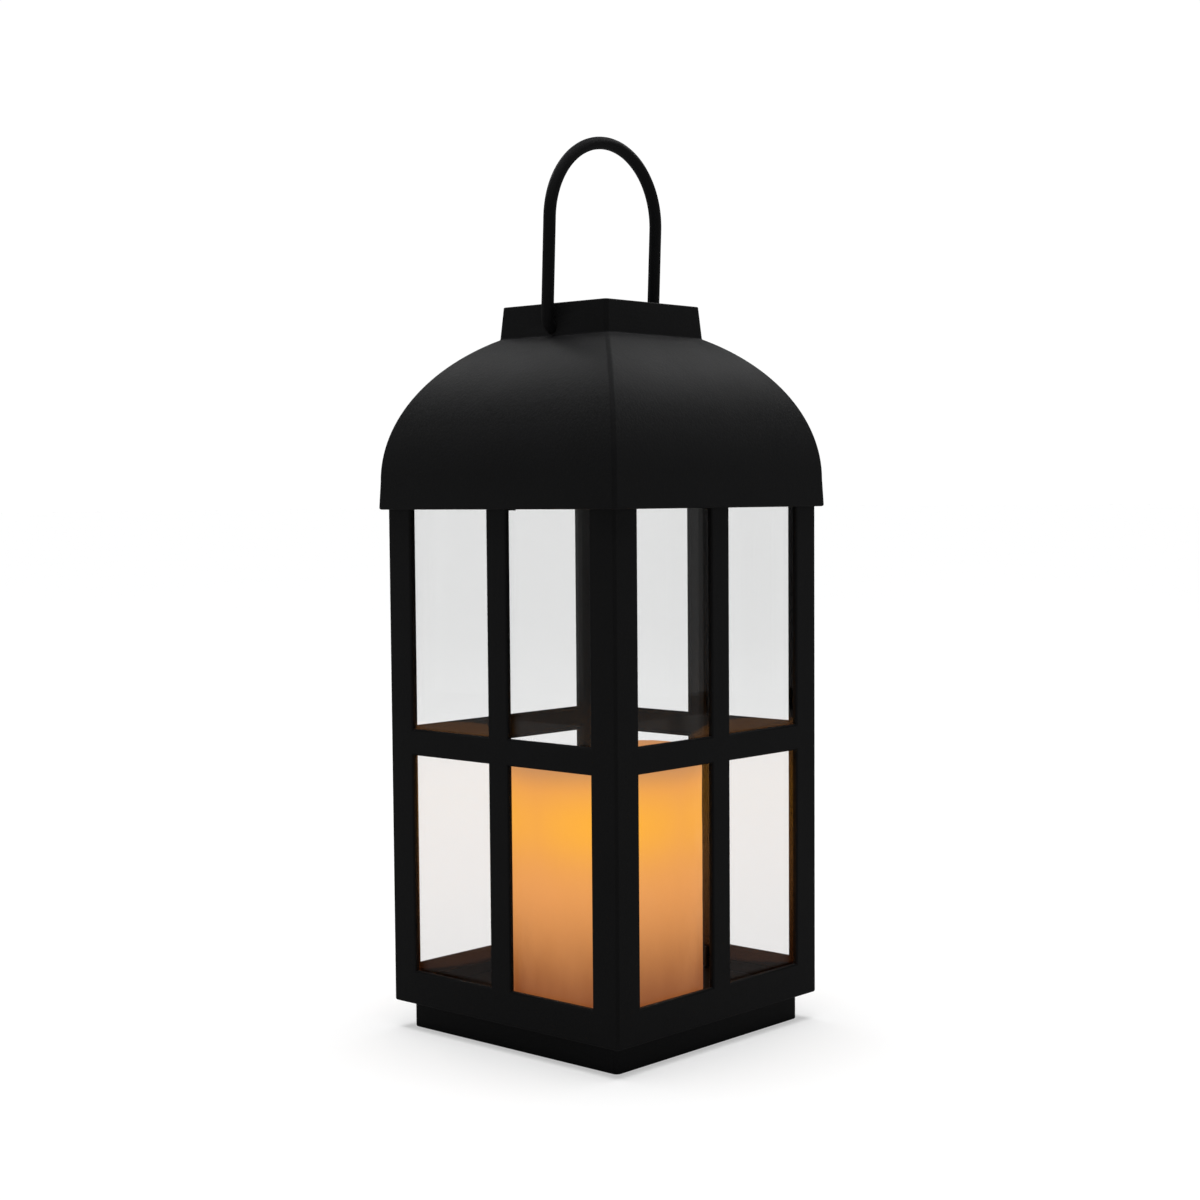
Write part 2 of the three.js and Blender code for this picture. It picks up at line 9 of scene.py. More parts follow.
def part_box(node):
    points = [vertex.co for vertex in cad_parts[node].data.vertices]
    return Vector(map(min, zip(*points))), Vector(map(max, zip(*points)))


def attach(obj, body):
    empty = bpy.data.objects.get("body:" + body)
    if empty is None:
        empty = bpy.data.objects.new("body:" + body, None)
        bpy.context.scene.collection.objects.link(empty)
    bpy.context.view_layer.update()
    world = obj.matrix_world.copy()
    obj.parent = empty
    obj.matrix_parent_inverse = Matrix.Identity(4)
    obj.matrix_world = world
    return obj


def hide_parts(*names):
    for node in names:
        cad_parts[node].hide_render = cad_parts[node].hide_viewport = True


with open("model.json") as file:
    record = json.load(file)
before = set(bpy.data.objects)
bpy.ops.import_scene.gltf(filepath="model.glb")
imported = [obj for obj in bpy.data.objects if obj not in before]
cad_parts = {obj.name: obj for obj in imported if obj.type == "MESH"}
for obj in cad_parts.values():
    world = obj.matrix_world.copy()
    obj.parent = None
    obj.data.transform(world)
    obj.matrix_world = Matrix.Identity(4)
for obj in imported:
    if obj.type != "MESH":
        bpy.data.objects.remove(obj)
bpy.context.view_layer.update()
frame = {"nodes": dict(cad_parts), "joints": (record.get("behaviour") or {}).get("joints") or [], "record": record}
scene = bpy.context.scene
MM = 0.001

# ------------------------------------------------------------------ sizes, from the frame where it has them
SIDES = ("front_left", "front_right", "back_right", "back_left")
SHEET = 1.0  # thickness of the folded steel

BODY_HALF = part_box("side_frame_front_right")[1].x / MM
BODY_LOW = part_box("side_frame_front_right")[0].z / MM
BODY_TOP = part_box("side_frame_front_right")[1].z / MM
POST = 12.0  # width of a corner post on each side
MUNTIN = 10.0
SILL_Z = 23.1
RAIL_LOW = 104.7
RAIL_HIGH = 114.4
HEAD_Z = 197.4
WINDOW_U = ((POST - BODY_HALF, -MUNTIN / 2), (MUNTIN / 2, BODY_HALF - POST))
WINDOW_Z = ((SILL_Z, RAIL_LOW), (RAIL_HIGH, HEAD_Z))
JAMB = 2.0  # depth of the folded window edges
FLANGE = 7.0  # width of the sides' bottom flange
CORNER = 1.1  # radius of the body's corners
CORNER_STEPS = 6  # how many flats turn each corner of a square piece
FOLD = 0.8  # outer radius of a folded window edge
INNER_FOLD = SHEET + 0.3

PLINTH_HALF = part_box("plinth")[1].x / MM
PLINTH_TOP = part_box("plinth")[1].z / MM
PLINTH_OPENING = 44.0  # half the opening in the plinth's top
PLINTH_CORNER = 1.8
PLINTH_INNER_CORNER = 0.9

SKIRT_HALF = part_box("roof_panel_front_right")[1].x / MM
SKIRT_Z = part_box("roof_panel_front_right")[0].z / MM
SKIRT_BAND = 5.0  # height of the upright band along the skirt
DOME_RADIUS = 59.2  # section of each roof panel
DOME_Z = 206.55  # height of that section's centre
DOME_OPENING = 27.5  # half the opening under the collar
DOME_TOP = DOME_Z + math.sqrt(DOME_RADIUS**2 - DOME_OPENING**2)
HIP = 1.5  # radius of the dome's welded hips
LIP_CORNER = 1.2  # tighter inside the skirt, where it fits over the body

COLLAR_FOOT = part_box("collar")[0].z / MM
COLLAR_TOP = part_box("collar")[1].z / MM
COLLAR_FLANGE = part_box("collar")[1].x / MM
COLLAR_TOP_HALF = 26.15
COLLAR_TAPER = 0.078  # how far each wall leans out for each millimetre down
COLLAR_LEDGE = 265.0
LEDGE_SHEET = 0.8
COLLAR_OPENING = 22.0  # half the opening in the ledge
COLLAR_CORNER = 1.5
COLLAR_INNER_CORNER = 0.5
COLLAR_RIM_CORNER = 1.4
WELD = 1.1  # fillet where the collar stands on the dome
WELD_CORNER = 1.8
WELD_SINK = 0.3  # how far the fillet's edge is sunk into the dome
WELD_DEPTH = 1.2  # how far the neck's wall goes down behind the fillet
BORE_RADIUS = 2.45

WIRE_RADIUS = 2.3
HANDLE_SPREAD = 29.3  # from the middle to each leg
HANDLE_PIVOT_Z = next(j for j in frame["joints"] if j["name"] == "handle_swing")["pos_m"][2] / MM
HANDLE_ARCH_Z = 302.1  # where the legs turn into the arch
HANDLE_BEND = 3.4
HANDLE_END = 23.2  # how far from the middle the feet end
HANDLE_LEAN = math.radians(2.5)
WIRE_END = ((0.0, 0.7), (0.25, 0.2), (0.6, 0.0))  # (distance from the end, how far it is rounded off)

CANDLE_RADIUS = 36.25
CANDLE_WALL = 3.2
CANDLE_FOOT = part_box("candle_shell")[0].z / MM
CANDLE_RIM = 104.4
HOLLOW_TOP = 92.0
RIM_CREST = (97, 6, 0.5)  # direction in degrees, narrowness, rise
RIM_NOTCH = (150, 10, -3.6)
RIM_INSIDE = (26, 33)  # radii between which the rim's unevenness sets in
RIM_UNDER = (8, 1.5)  # and depths under the rim

SCREW_PITCH = 0.6
RECESS_REACH = 0.56  # length of the cross's arms, as a part of the head's radius
RECESS_ARM = 0.13  # half their width, likewise
RECESS_DEPTH = 0.75

GLOW_Z = 81.6  # height of the hottest place in the glow painted on the wax
GLOW_ABOVE = 14.5  # how far the hot spot reaches upwards
GLOW_BELOW = 16.5  # and downwards
FOOT_SHADE = (7.0, 60.8)  # heights between which the dim foot brightens
CROWN_SHADE = (90.5, 103.5)  # heights between which the wax pales to its rim

# the camera and the floor, in metres and degrees
VIEW_AZIMUTH = 42.239
VIEW_DISTANCE = 0.7758
VIEW_HEIGHT = 0.2007
VIEW_PITCH = 3.719
VIEW_ROLL = -0.442
VIEW_SHIFT = (-0.00303, 0.025)
SENSOR_WIDTH = 36.0  # millimetres, as is the focal length
FOCAL_LENGTH = 61.728
FLOOR_REACH = 30.0


# ------------------------------------------------------------------ materials
class Look:
    """A Principled material with short helpers for the textures that feed it."""

    def __init__(self, name, color, roughness, metallic=0.0, **sockets):
        self.material = bpy.data.materials.new(name)
        self.material.use_nodes = True
        self.tree = self.material.node_tree
        self.shader = self.tree.nodes["Principled BSDF"]
        self.set("Base Color", (*color, 1.0))
        self.set("Roughness", roughness)
        self.set("Metallic", metallic)
        for key, value in sockets.items():
            self.set(key.replace("_", " "), value)
        self.place = self.node("ShaderNodeTexCoord").outputs["Object"]

    def set(self, socket, value):
        self.shader.inputs[socket].default_value = value

    def node(self, kind, **settings):
        made = self.tree.nodes.new(kind)
        for key, value in settings.items():
            setattr(made, key, value)
        return made

    def link(self, output, target):
        self.tree.links.new(output, target)

    def scaled(self, scale):
        mapping = self.node("ShaderNodeMapping")
        mapping.inputs["Scale"].default_value = scale
        self.link(self.place, mapping.inputs["Vector"])
        return mapping.outputs["Vector"]

    def noise(self, scale, detail=2.0, rough=0.5, vector=None):
        made = self.node("ShaderNodeTexNoise")
        made.inputs["Scale"].default_value = scale
        made.inputs["Detail"].default_value = detail
        made.inputs["Roughness"].default_value = rough
        self.link(vector or self.place, made.inputs["Vector"])
        return made.outputs["Fac"]

    def remap(self, value, low, high, out_low, out_high, shape="LINEAR"):
        made = self.node("ShaderNodeMapRange", interpolation_type=shape)
        limits = {"From Min": low, "From Max": high, "To Min": out_low, "To Max": out_high}
        for key, number in limits.items():
            made.inputs[key].default_value = number
        self.link(value, made.inputs["Value"])
        return made.outputs["Result"]

    def mix(self, factor, first, second):
        made = self.node("ShaderNodeMix", data_type="RGBA")
        self.link(factor, made.inputs[0])
        for socket, value in ((made.inputs[6], first), (made.inputs[7], second)):
            if isinstance(value, tuple):
                socket.default_value = (*value, 1.0)
            else:
                self.link(value, socket)
        return made.outputs[2]

    def math(self, operation, first, second=0.0):
        made = self.node("ShaderNodeMath", operation=operation)
        for socket, value in zip(made.inputs, (first, second)):
            if isinstance(value, (int, float)):
                socket.default_value = value
            else:
                self.link(value, socket)
        return made.outputs[0]

    def color(self, output):
        self.link(output, self.shader.inputs["Base Color"])

    def roughness(self, output):
        self.link(output, self.shader.inputs["Roughness"])

    def emission(self, output):
        self.link(output, self.shader.inputs["Emission Color"])

    def bump(self, *layers):
        """Layers of (height output, depth in metres), the coarsest first."""
        normal = None
        for height, depth in layers:
            made = self.node("ShaderNodeBump")
            made.inputs["Strength"].default_value = 1.0
            made.inputs["Distance"].default_value = depth
            self.link(height, made.inputs["Height"])
            if normal is not None:
                self.link(normal, made.inputs["Normal"])
            normal = made.outputs["Normal"]
        self.link(normal, self.shader.inputs["Normal"])


def powder_coat():
    """Satin black with a fine orange peel; in patches along its edges it is worn a little smoother and painted a
    little paler as an edge highlight.
    """
    look = Look("black_powder_coat", (0.011, 0.011, 0.0115), 0.5, Specular_IOR_Level=0.34)
    grain = look.noise(2600.0, 3.0, 0.6)
    peel = look.noise(900.0, 2.0, 0.5)
    cloud = look.noise(26.0, 3.0, 0.55)
    broad_patches = look.noise(7.0, 4.0, 0.6)
    clouded = look.remap(cloud, 0.3, 0.7, 0.0, 1.0)
    tone = look.mix(clouded, (0.010, 0.010, 0.0104), (0.0125, 0.0125, 0.013))
    specks = look.remap(look.noise(3400.0, 1.0, 0.5), 0.66, 0.76, 0.0, 0.5)
    edges = look.remap(look.node("ShaderNodeNewGeometry").outputs["Pointiness"], 0.53, 0.6, 0.0, 1.0)
    edge_wear_and_sheen = look.math("MULTIPLY", edges, look.remap(broad_patches, 0.42, 0.62, 0.15, 0.8))
    coat = look.mix(specks, tone, (0.03, 0.03, 0.031))
    # painted edge highlight: the edges are made paler in colour, while their lower roughness is wear
    look.color(look.mix(edge_wear_and_sheen, coat, (0.032, 0.032, 0.033)))
    rubbed = look.math("MULTIPLY", edge_wear_and_sheen, 0.14)
    satin = look.math("SUBTRACT", look.remap(broad_patches, 0.3, 0.7, 0.5, 0.6), rubbed)
    look.roughness(look.math("ADD", satin, look.remap(grain, 0.3, 0.7, -0.03, 0.05)))
    look.bump((cloud, 0.00025), (peel, 0.00006), (grain, 0.000035))
    return look.material


def clear_glass():
    look = Look("clear_glass", (0.922, 0.924, 0.923), 0.0, IOR=1.45, Transmission_Weight=1.0)
    smear = look.noise(38.0, 5.0, 0.7, look.scaled((1.0, 1.0, 0.35)))
    look.roughness(look.remap(smear, 0.5, 0.8, 0.0, 0.012))
    look.bump((look.noise(16.0, 1.0, 0.4), 0.00002))
    return look.material


def lit_wax():
    """Wax that the lamp lights from within, that light painted into its emission colour: a hot spot near the lamp,
    a dim foot and a pale crown.
    """
    look = Look("lit_wax", (0.3, 0.19, 0.1), 0.5, Specular_IOR_Level=0.35)
    split = look.node("ShaderNodeSeparateXYZ")
    look.link(look.place, split.inputs[0])
    x, y, z = split.outputs
    # The painted hot spot is strongest towards the lantern's corners, and most of all at its front and back ones.
    turn = look.math("ADD", look.math("ARCTAN2", y, x), math.pi / 4)
    four = look.remap(look.math("COSINE", look.math("MULTIPLY", turn, 4.0)), -1.0, 1.0, 0.0, 1.0)
    two = look.math("ABSOLUTE", look.math("COSINE", turn))
    both = look.math("ADD", look.math("SQRT", four), look.math("MULTIPLY", two, 1.3))
    # painted glow: the emission is brighter in lobes facing the corners
    painted_glow_lobe = look.remap(both, 0.0, 2.3, 0.4, 1.0)
    rise = look.math("SUBTRACT", z, GLOW_Z * MM)
    above = look.math("MULTIPLY", look.math("MAXIMUM", rise, 0.0), 1.0 / (GLOW_ABOVE * MM))
    below = look.math("MULTIPLY", look.math("MINIMUM", rise, 0.0), 1.0 / (GLOW_BELOW * MM))
    far = look.math("ADD", look.math("POWER", above, 2.0), look.math("MULTIPLY", below, below))
    hot = look.math("EXPONENT", look.math("MULTIPLY", far, -1.0))
    painted_hot_spot = look.math("MULTIPLY", hot, painted_glow_lobe)
    foot = look.remap(z, FOOT_SHADE[0] * MM, FOOT_SHADE[1] * MM, 0.0, 1.0, "SMOOTHSTEP")
    crown = look.remap(z, CROWN_SHADE[0] * MM, CROWN_SHADE[1] * MM, 0.0, 1.0, "SMOOTHSTEP")
    veil = look.noise(60.0, 3.0, 0.5, look.scaled((1.0, 1.0, 0.45)))
    base = look.mix(foot, (0.19, 0.038, 0.010), (0.93, 0.375, 0.103))
    warm = look.mix(look.remap(veil, 0.3, 0.7, 0.0, 0.14), base, (0.98, 0.42, 0.145))
    pale = look.mix(crown, warm, (0.59, 0.27, 0.120))
    # painted light: the lamp's glow through the wax, with its hot spot, dim foot and pale crown, is painted as the
    # emission colour
    look.emission(look.mix(painted_hot_spot, pale, (1.16, 0.51, 0.045)))
    look.set("Emission Strength", 1.0)
    look.color(look.mix(look.remap(veil, 0.3, 0.7, 0.0, 1.0), (0.22, 0.14, 0.075), (0.28, 0.18, 0.1)))
    look.roughness(look.remap(look.noise(120.0, 2.0, 0.5), 0.3, 0.7, 0.38, 0.55))
    look.bump((look.noise(45.0, 2.0, 0.5), 0.0006), (look.noise(700.0, 3.0, 0.6), 0.00005))
    return look.material


def moulded(name, dark, light, low=0.5, high=0.68, grain=1500.0):
    """Plastic or rubber between two tones, with a fine moulded grain."""
    look = Look(name, dark, low)
    spots = look.noise(grain, 3.0, 0.6)
    cloud = look.noise(30.0, 2.0, 0.5)
    look.color(look.mix(look.remap(cloud, 0.3, 0.7, 0.0, 1.0), dark, light))
    look.roughness(look.remap(spots, 0.3, 0.7, low, high))
    look.bump((cloud, 0.0001), (spots, 0.00004))
    return look.material


def silicon():
    look = Look("silicon_cell", (0.006, 0.012, 0.045), 0.22, Specular_IOR_Level=0.6)
    grains = look.node("ShaderNodeTexVoronoi", feature="F1")
    grains.inputs["Scale"].default_value = 420.0
    look.link(look.place, grains.inputs["Vector"])
    tint = look.node("ShaderNodeSeparateColor")
    look.link(grains.outputs["Color"], tint.inputs[0])
    look.color(look.mix(tint.outputs[0], (0.004, 0.008, 0.030), (0.012, 0.026, 0.085)))
    look.roughness(look.remap(tint.outputs[1], 0.0, 1.0, 0.16, 0.34))
    look.bump((tint.outputs[2], 0.00002))
    return look.material


def resin():
    look = Look("clear_resin", (0.05, 0.06, 0.075), 0.06, Alpha=0.16, Specular_IOR_Level=0.7)
    smear = look.noise(70.0, 4.0, 0.7)
    look.roughness(look.remap(smear, 0.4, 0.8, 0.04, 0.2))
    look.bump((look.noise(40.0, 1.0, 0.4), 0.00008))
    return look.material


def plated():
    look = Look("plated_steel", (0.56, 0.56, 0.54), 0.28, 1.0)
    cloud = look.noise(240.0, 3.0, 0.6)
    look.color(look.mix(look.remap(cloud, 0.35, 0.7, 0.0, 1.0), (0.60, 0.60, 0.585), (0.42, 0.42, 0.40)))
    look.roughness(look.remap(cloud, 0.3, 0.7, 0.2, 0.42))
    look.bump((look.noise(1600.0, 2.0, 0.5), 0.00002))
    return look.material


def solder_mask():
    look = Look("solder_mask", (0.015, 0.10, 0.04), 0.3)
    tracks = look.node("ShaderNodeTexBrick")
    tracks.inputs["Scale"].default_value = 260.0
    tracks.inputs["Mortar Size"].default_value = 0.06
    look.link(look.place, tracks.inputs["Vector"])
    look.color(look.mix(tracks.outputs["Fac"], (0.012, 0.085, 0.034), (0.03, 0.15, 0.06)))
    look.roughness(look.remap(look.noise(500.0), 0.3, 0.7, 0.25, 0.4))
    look.bump((tracks.outputs["Fac"], 0.00003))
    return look.material


def amber_lamp():
    look = Look("amber_lamp", (1.0, 0.55, 0.16), 0.12)
    heat = look.noise(300.0, 1.0, 0.5)
    look.emission(look.mix(look.remap(heat, 0.3, 0.7, 0.0, 1.0), (1.0, 0.42, 0.07), (1.0, 0.55, 0.14)))
    look.set("Emission Strength", 3.0)
    look.roughness(look.remap(heat, 0.3, 0.7, 0.08, 0.2))
    return look.material


LOOKS = {
    "black_steel": powder_coat(),
    "glass": clear_glass(),
    "wax": lit_wax(),
    "black_plastic": moulded("black_moulding", (0.017, 0.017, 0.018), (0.024, 0.024, 0.025)),
    "white_plastic": moulded("white_moulding", (0.66, 0.64, 0.59), (0.74, 0.72, 0.67), 0.38, 0.5, 900.0),
    "solar_cell": silicon(),
    "clear_resin": resin(),
    "lead_jacket": moulded("lead_jacket", (0.012, 0.012, 0.012), (0.02, 0.02, 0.021), 0.45, 0.6, 700.0),
    "board_green": solder_mask(),
    "cell_wrap": moulded("cell_wrap", (0.02, 0.15, 0.05), (0.03, 0.2, 0.07), 0.22, 0.34, 400.0),
    "plated_steel": plated(),
    "rubber": moulded("black_rubber", (0.013, 0.013, 0.013), (0.021, 0.021, 0.021), 0.7, 0.9, 1100.0),
    "lamp_amber": amber_lamp(),
}
SLOT_OF = {part["node"]: part["material_slot"] for part in frame["record"]["subparts"]}


# ------------------------------------------------------------------ mesh helpers
def sharpen(mesh, angle=50.0):
    """Smooth faces with sharp edges where the surface turns by more than angle, in degrees."""
    shape = bmesh.new()
    shape.from_mesh(mesh)
    bmesh.ops.recalc_face_normals(shape, faces=shape.faces)
    for face in shape.faces:
        face.smooth = True
    for edge in shape.edges:
        edge.smooth = len(edge.link_faces) == 2 and edge.calc_face_angle(0.0) < math.radians(angle)
    shape.to_mesh(mesh)
    shape.free()


def weigh_normals(made, keep_sharp=True):
    made.modifiers.new("Normals", "WEIGHTED_NORMAL").keep_sharp = keep_sharp


def piece(name, points, faces, slot, nodes, body="lantern", sharp=50.0):
    """A new piece from points in millimetres, which replaces these CAD nodes."""
    mesh = bpy.data.meshes.new(name)
    mesh.from_pydata([Vector(p) * MM for p in points], [], faces)
    mesh.validate()
    sharpen(mesh, sharp)
    mesh.materials.append(LOOKS[slot])
    made = bpy.data.objects.new(name, mesh)
    scene.collection.objects.link(made)
    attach(made, body)
    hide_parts(*nodes)
    return made


def turn_quarter(point, quarters):
    x, y, z = point
    for _ in range(quarters):
        x, y = -y, x
    return (x, y, z)


def arc(center, radius, start, end, steps):
    """Points of an arc in a section, angles in degrees, both ends included."""
    turns = [math.radians(start + (end - start) * i / steps) for i in range(steps + 1)]
    return [(center[0] + radius * math.cos(t), center[1] + radius * math.sin(t)) for t in turns]


def square_loop(half, radius, z, marks=()):
    """A rounded square, counter-clockwise from above. marks are extra places along each side."""
    radius = max(radius, 0.02)
    straight = half - radius
    points = []
    for quarter in range(4):
        side = [(u, -half, z) for u in (-straight, *marks, straight)]
        for step in range(1, CORNER_STEPS):
            turn = math.radians(-90 + 90 * step / CORNER_STEPS)
            side.append((straight + radius * math.cos(turn), -straight + radius * math.sin(turn), z))
        points += [turn_quarter(p, quarter) for p in side]
    return points


def bridge(count, lower, upper, skip=()):
    """Quads between two loops that start at these indices."""
    return [
        (lower + i, lower + (i + 1) % count, upper + (i + 1) % count, upper + i)
        for i in range(count)
        if i not in skip
    ]


def square_shell(name, section, slot, nodes):
    """A closed section of (half width, corner radius, z) swept round the square."""
    points, faces = [], []
    loops = [square_loop(half, radius, z) for half, radius, z in section]
    count = len(loops[0])
    for loop in loops:
        points += loop
    for i in range(len(loops)):
        faces += bridge(count, i * count, (i + 1) % len(loops) * count)
    return piece(name, points, faces, slot, nodes)


# ------------------------------------------------------------------ the body: one folded and welded shell
def window_edges(spans, expand):
    """Both edges of every window, each moved outwards by expand."""
    return [edge for low, high in spans for edge in (low - expand, high + expand)]


def body_foot():
    """Rings of (half width, corner radius, z, expand) round the body's lower edge and its folded flange."""
    nick = 0.2
    crease = 0.3
    inner_half = BODY_HALF - SHEET
    flange_half = BODY_HALF - FLANGE
    flange_top = BODY_LOW + SHEET
    rings = []
    for half, z in arc((BODY_HALF - FOLD, BODY_LOW + FOLD), FOLD, 0, -90, 4):
        rings.append((half, max(CORNER - (BODY_HALF - half), crease), z, FOLD))
    rings.append((flange_half + nick, crease, BODY_LOW, FOLD))
    rings.append((flange_half, crease, BODY_LOW + nick, FOLD))
    rings.append((flange_half, crease, flange_top - nick, FOLD))
    rings.append((flange_half + nick, crease, flange_top, FOLD))
    rings.append((inner_half - 0.4, 0.4, flange_top, INNER_FOLD))
    rings.append((inner_half, 0.7, flange_top + 0.4, INNER_FOLD))
    return rings


def window_fold():
    """Section of a window's folded edge: (distance outwards from the opening, depth behind the face)."""
    lip = 0.25
    section = [(FOLD - x, FOLD - y) for x, y in arc((0, 0), FOLD, 90, 0, 4)]
    section += [(0, JAMB - lip), (lip * 0.3, JAMB - lip * 0.3), (lip, JAMB)]
    section += [(SHEET - lip, JAMB), (SHEET, JAMB - lip), (SHEET, SHEET + 0.3)]
    section += [(SHEET + 0.1, SHEET + 0.1), (INNER_FOLD, SHEET)]
    return section


def body_shell():
    points, faces = [], []

    def add_loop(half, radius, z, expand):
        start = len(points)
        points.extend(square_loop(half, radius, z, window_edges(WINDOW_U, expand)))
        return start

    def levels(expand):
        return (*window_edges(WINDOW_Z, expand), BODY_TOP)

    inner_half = BODY_HALF - SHEET
    outer = [add_loop(BODY_HALF, CORNER, z, FOLD) for z in levels(FOLD)]
    inner = [add_loop(inner_half, CORNER - SHEET, z, INNER_FOLD) for z in levels(INNER_FOLD)]
    count = outer[1] - outer[0]
    openings = [side * count // 4 + gap for side in range(4) for gap in (1, 3)]
    for i in range(len(outer) - 1):
        skip = openings if i in (0, 2) else ()
        faces.extend(bridge(count, outer[i], outer[i + 1], skip))
        faces.extend(bridge(count, inner[i + 1], inner[i], skip))
    faces.extend(bridge(count, outer[-1], inner[-1]))
    starts = [outer[0]] + [add_loop(*ring) for ring in body_foot()] + [inner[0]]
    for above, below in zip(starts, starts[1:]):
        faces.extend(bridge(count, below, above))

    def add_window(left, right, low, high, quarter):
        rings = []
        for out, depth in window_fold():
            corners = [
                (left - out, low - out),
                (right + out, low - out),
                (right + out, high + out),
                (left - out, high + out),
            ]
            rings.append(len(points))
            points.extend(turn_quarter((u, -BODY_HALF + depth, z), quarter) for u, z in corners)
        for first, second in zip(rings, rings[1:]):
            faces.extend(bridge(4, first, second))

    for quarter in range(4):
        for left, right in WINDOW_U:
            for low, high in WINDOW_Z:
                add_window(left, right, low, high, quarter)
    made = piece("body_shell", points, faces, "black_steel", [f"side_frame_{s}" for s in SIDES])
    weld = bmesh.new()
    weld.from_mesh(made.data)
    bmesh.ops.remove_doubles(weld, verts=weld.verts, dist=2e-6)
    weld.to_mesh(made.data)
    weld.free()
    sharpen(made.data)
    weigh_normals(made)


# ------------------------------------------------------------------ the roof, neck and plinth
def roof_shell():
    lip = BODY_HALF + 0.3
    edge = 0.7
    nick = 0.2
    inner = DOME_RADIUS - SHEET
    band_top = SKIRT_Z + SKIRT_BAND
    outer_end = math.degrees(math.acos(DOME_OPENING / DOME_RADIUS))
    inner_end = math.degrees(math.acos(DOME_OPENING / inner))
    section = [(lip, SKIRT_Z + SHEET), (lip, SKIRT_Z + nick), (lip + nick, SKIRT_Z)]
    section += arc((SKIRT_HALF - edge, SKIRT_Z + edge), edge, -90, -2, 4)
    section += [(SKIRT_HALF - 0.2, band_top)]
    section += arc((0, DOME_Z), DOME_RADIUS, 0, outer_end, 30)
    section += [(DOME_OPENING - 0.2, DOME_TOP - 0.3), (DOME_OPENING - 0.1, DOME_TOP - 0.9)]
    section += arc((0, DOME_Z), inner, inner_end, 0, 20)
    section += [(SKIRT_HALF - SHEET - 0.2, band_top), (SKIRT_HALF - SHEET, SKIRT_Z + SHEET)]

    def corner(half, z):
        inside_lip = half < lip + 0.25 and z < SKIRT_Z + 3
        return LIP_CORNER if inside_lip else HIP

    rings = [(half, corner(half, z), z) for half, z in section]
    weigh_normals(square_shell("roof_shell", rings, "black_steel", [f"roof_panel_{s}" for s in SIDES]))


def dome_height(half):
    return DOME_Z + math.sqrt(DOME_RADIUS**2 - half**2)


def neck_half(z):
    return COLLAR_TOP_HALF + COLLAR_TAPER * (COLLAR_TOP - z)


def neck_section():
    """(half width, corner radius, z) round the neck's sheet, up the outside and down the inside."""
    edge = 0.45
    nick = 0.2
    flange_top = COLLAR_FOOT + SHEET
    ledge_top = COLLAR_LEDGE + LEDGE_SHEET
    edge_z = COLLAR_TOP - edge
    section = [
        (neck_half(COLLAR_FOOT) - SHEET, COLLAR_INNER_CORNER, COLLAR_FOOT),
        (COLLAR_FLANGE - nick, COLLAR_INNER_CORNER, COLLAR_FOOT),
        (COLLAR_FLANGE, COLLAR_INNER_CORNER, COLLAR_FOOT + nick),
        (COLLAR_FLANGE, COLLAR_INNER_CORNER, flange_top),
        (neck_half(flange_top), COLLAR_CORNER, flange_top),
    ]
    # the weld: a fillet whose foot is sunk into the dome
    seam_half = neck_half(DOME_TOP)
    section.append((seam_half, COLLAR_CORNER, DOME_TOP - WELD_DEPTH))
    section.append((seam_half + WELD, WELD_CORNER, dome_height(seam_half + WELD) - WELD_SINK))
    for degrees in range(10, 91, 16):
        turn = math.radians(degrees)
        half = seam_half + WELD * (1 - math.sin(turn))
        corner = WELD_CORNER + (COLLAR_CORNER - WELD_CORNER) * degrees / 90
        section.append((half, corner, DOME_TOP - WELD_SINK + WELD * (1 - math.cos(turn))))
    section.append((neck_half(edge_z), COLLAR_CORNER, edge_z))
    rolled = arc((neck_half(edge_z) - edge, edge_z), edge, 20, 160, 6)
    section += [(half, COLLAR_RIM_CORNER, z) for half, z in rolled]
    section += [
        (neck_half(COLLAR_TOP) - SHEET, COLLAR_INNER_CORNER, edge_z),
        (neck_half(ledge_top) - SHEET, COLLAR_INNER_CORNER, ledge_top),
        (COLLAR_OPENING, COLLAR_INNER_CORNER, ledge_top),
        (COLLAR_OPENING, COLLAR_INNER_CORNER, COLLAR_LEDGE),
        (neck_half(COLLAR_LEDGE) - SHEET, COLLAR_INNER_CORNER, COLLAR_LEDGE),
    ]
    return section


def bore_across(made, radius, z):
    """A round hole through both walls of a piece, along Y."""
    mesh = bpy.data.meshes.new("cutter")
    drill = bmesh.new()
    aim = Matrix.Translation((0, 0, z * MM)) @ Matrix.Rotation(math.pi / 2, 4, "X")
    size = {"radius1": radius * MM, "radius2": radius * MM, "depth": 0.12}
    bmesh.ops.create_cone(drill, cap_ends=True, segments=40, matrix=aim, **size)
    drill.to_mesh(mesh)
    drill.free()
    cutter = bpy.data.objects.new("cutter", mesh)
    scene.collection.objects.link(cutter)
    boolean = made.modifiers.new("Holes", "BOOLEAN")
    boolean.object = cutter
    boolean.operation = "DIFFERENCE"
    boolean.solver = "EXACT"
    graph = bpy.context.evaluated_depsgraph_get()
    graph.update()
    bored = bpy.data.meshes.new_from_object(made.evaluated_get(graph))
    made.modifiers.clear()
    made.data = bored
    bpy.data.objects.remove(cutter)


def neck():
    made = square_shell("neck", neck_section(), "black_steel", ["collar"])
    bore_across(made, BORE_RADIUS, HANDLE_PIVOT_Z)
    sharpen(made.data)
    weigh_normals(made)


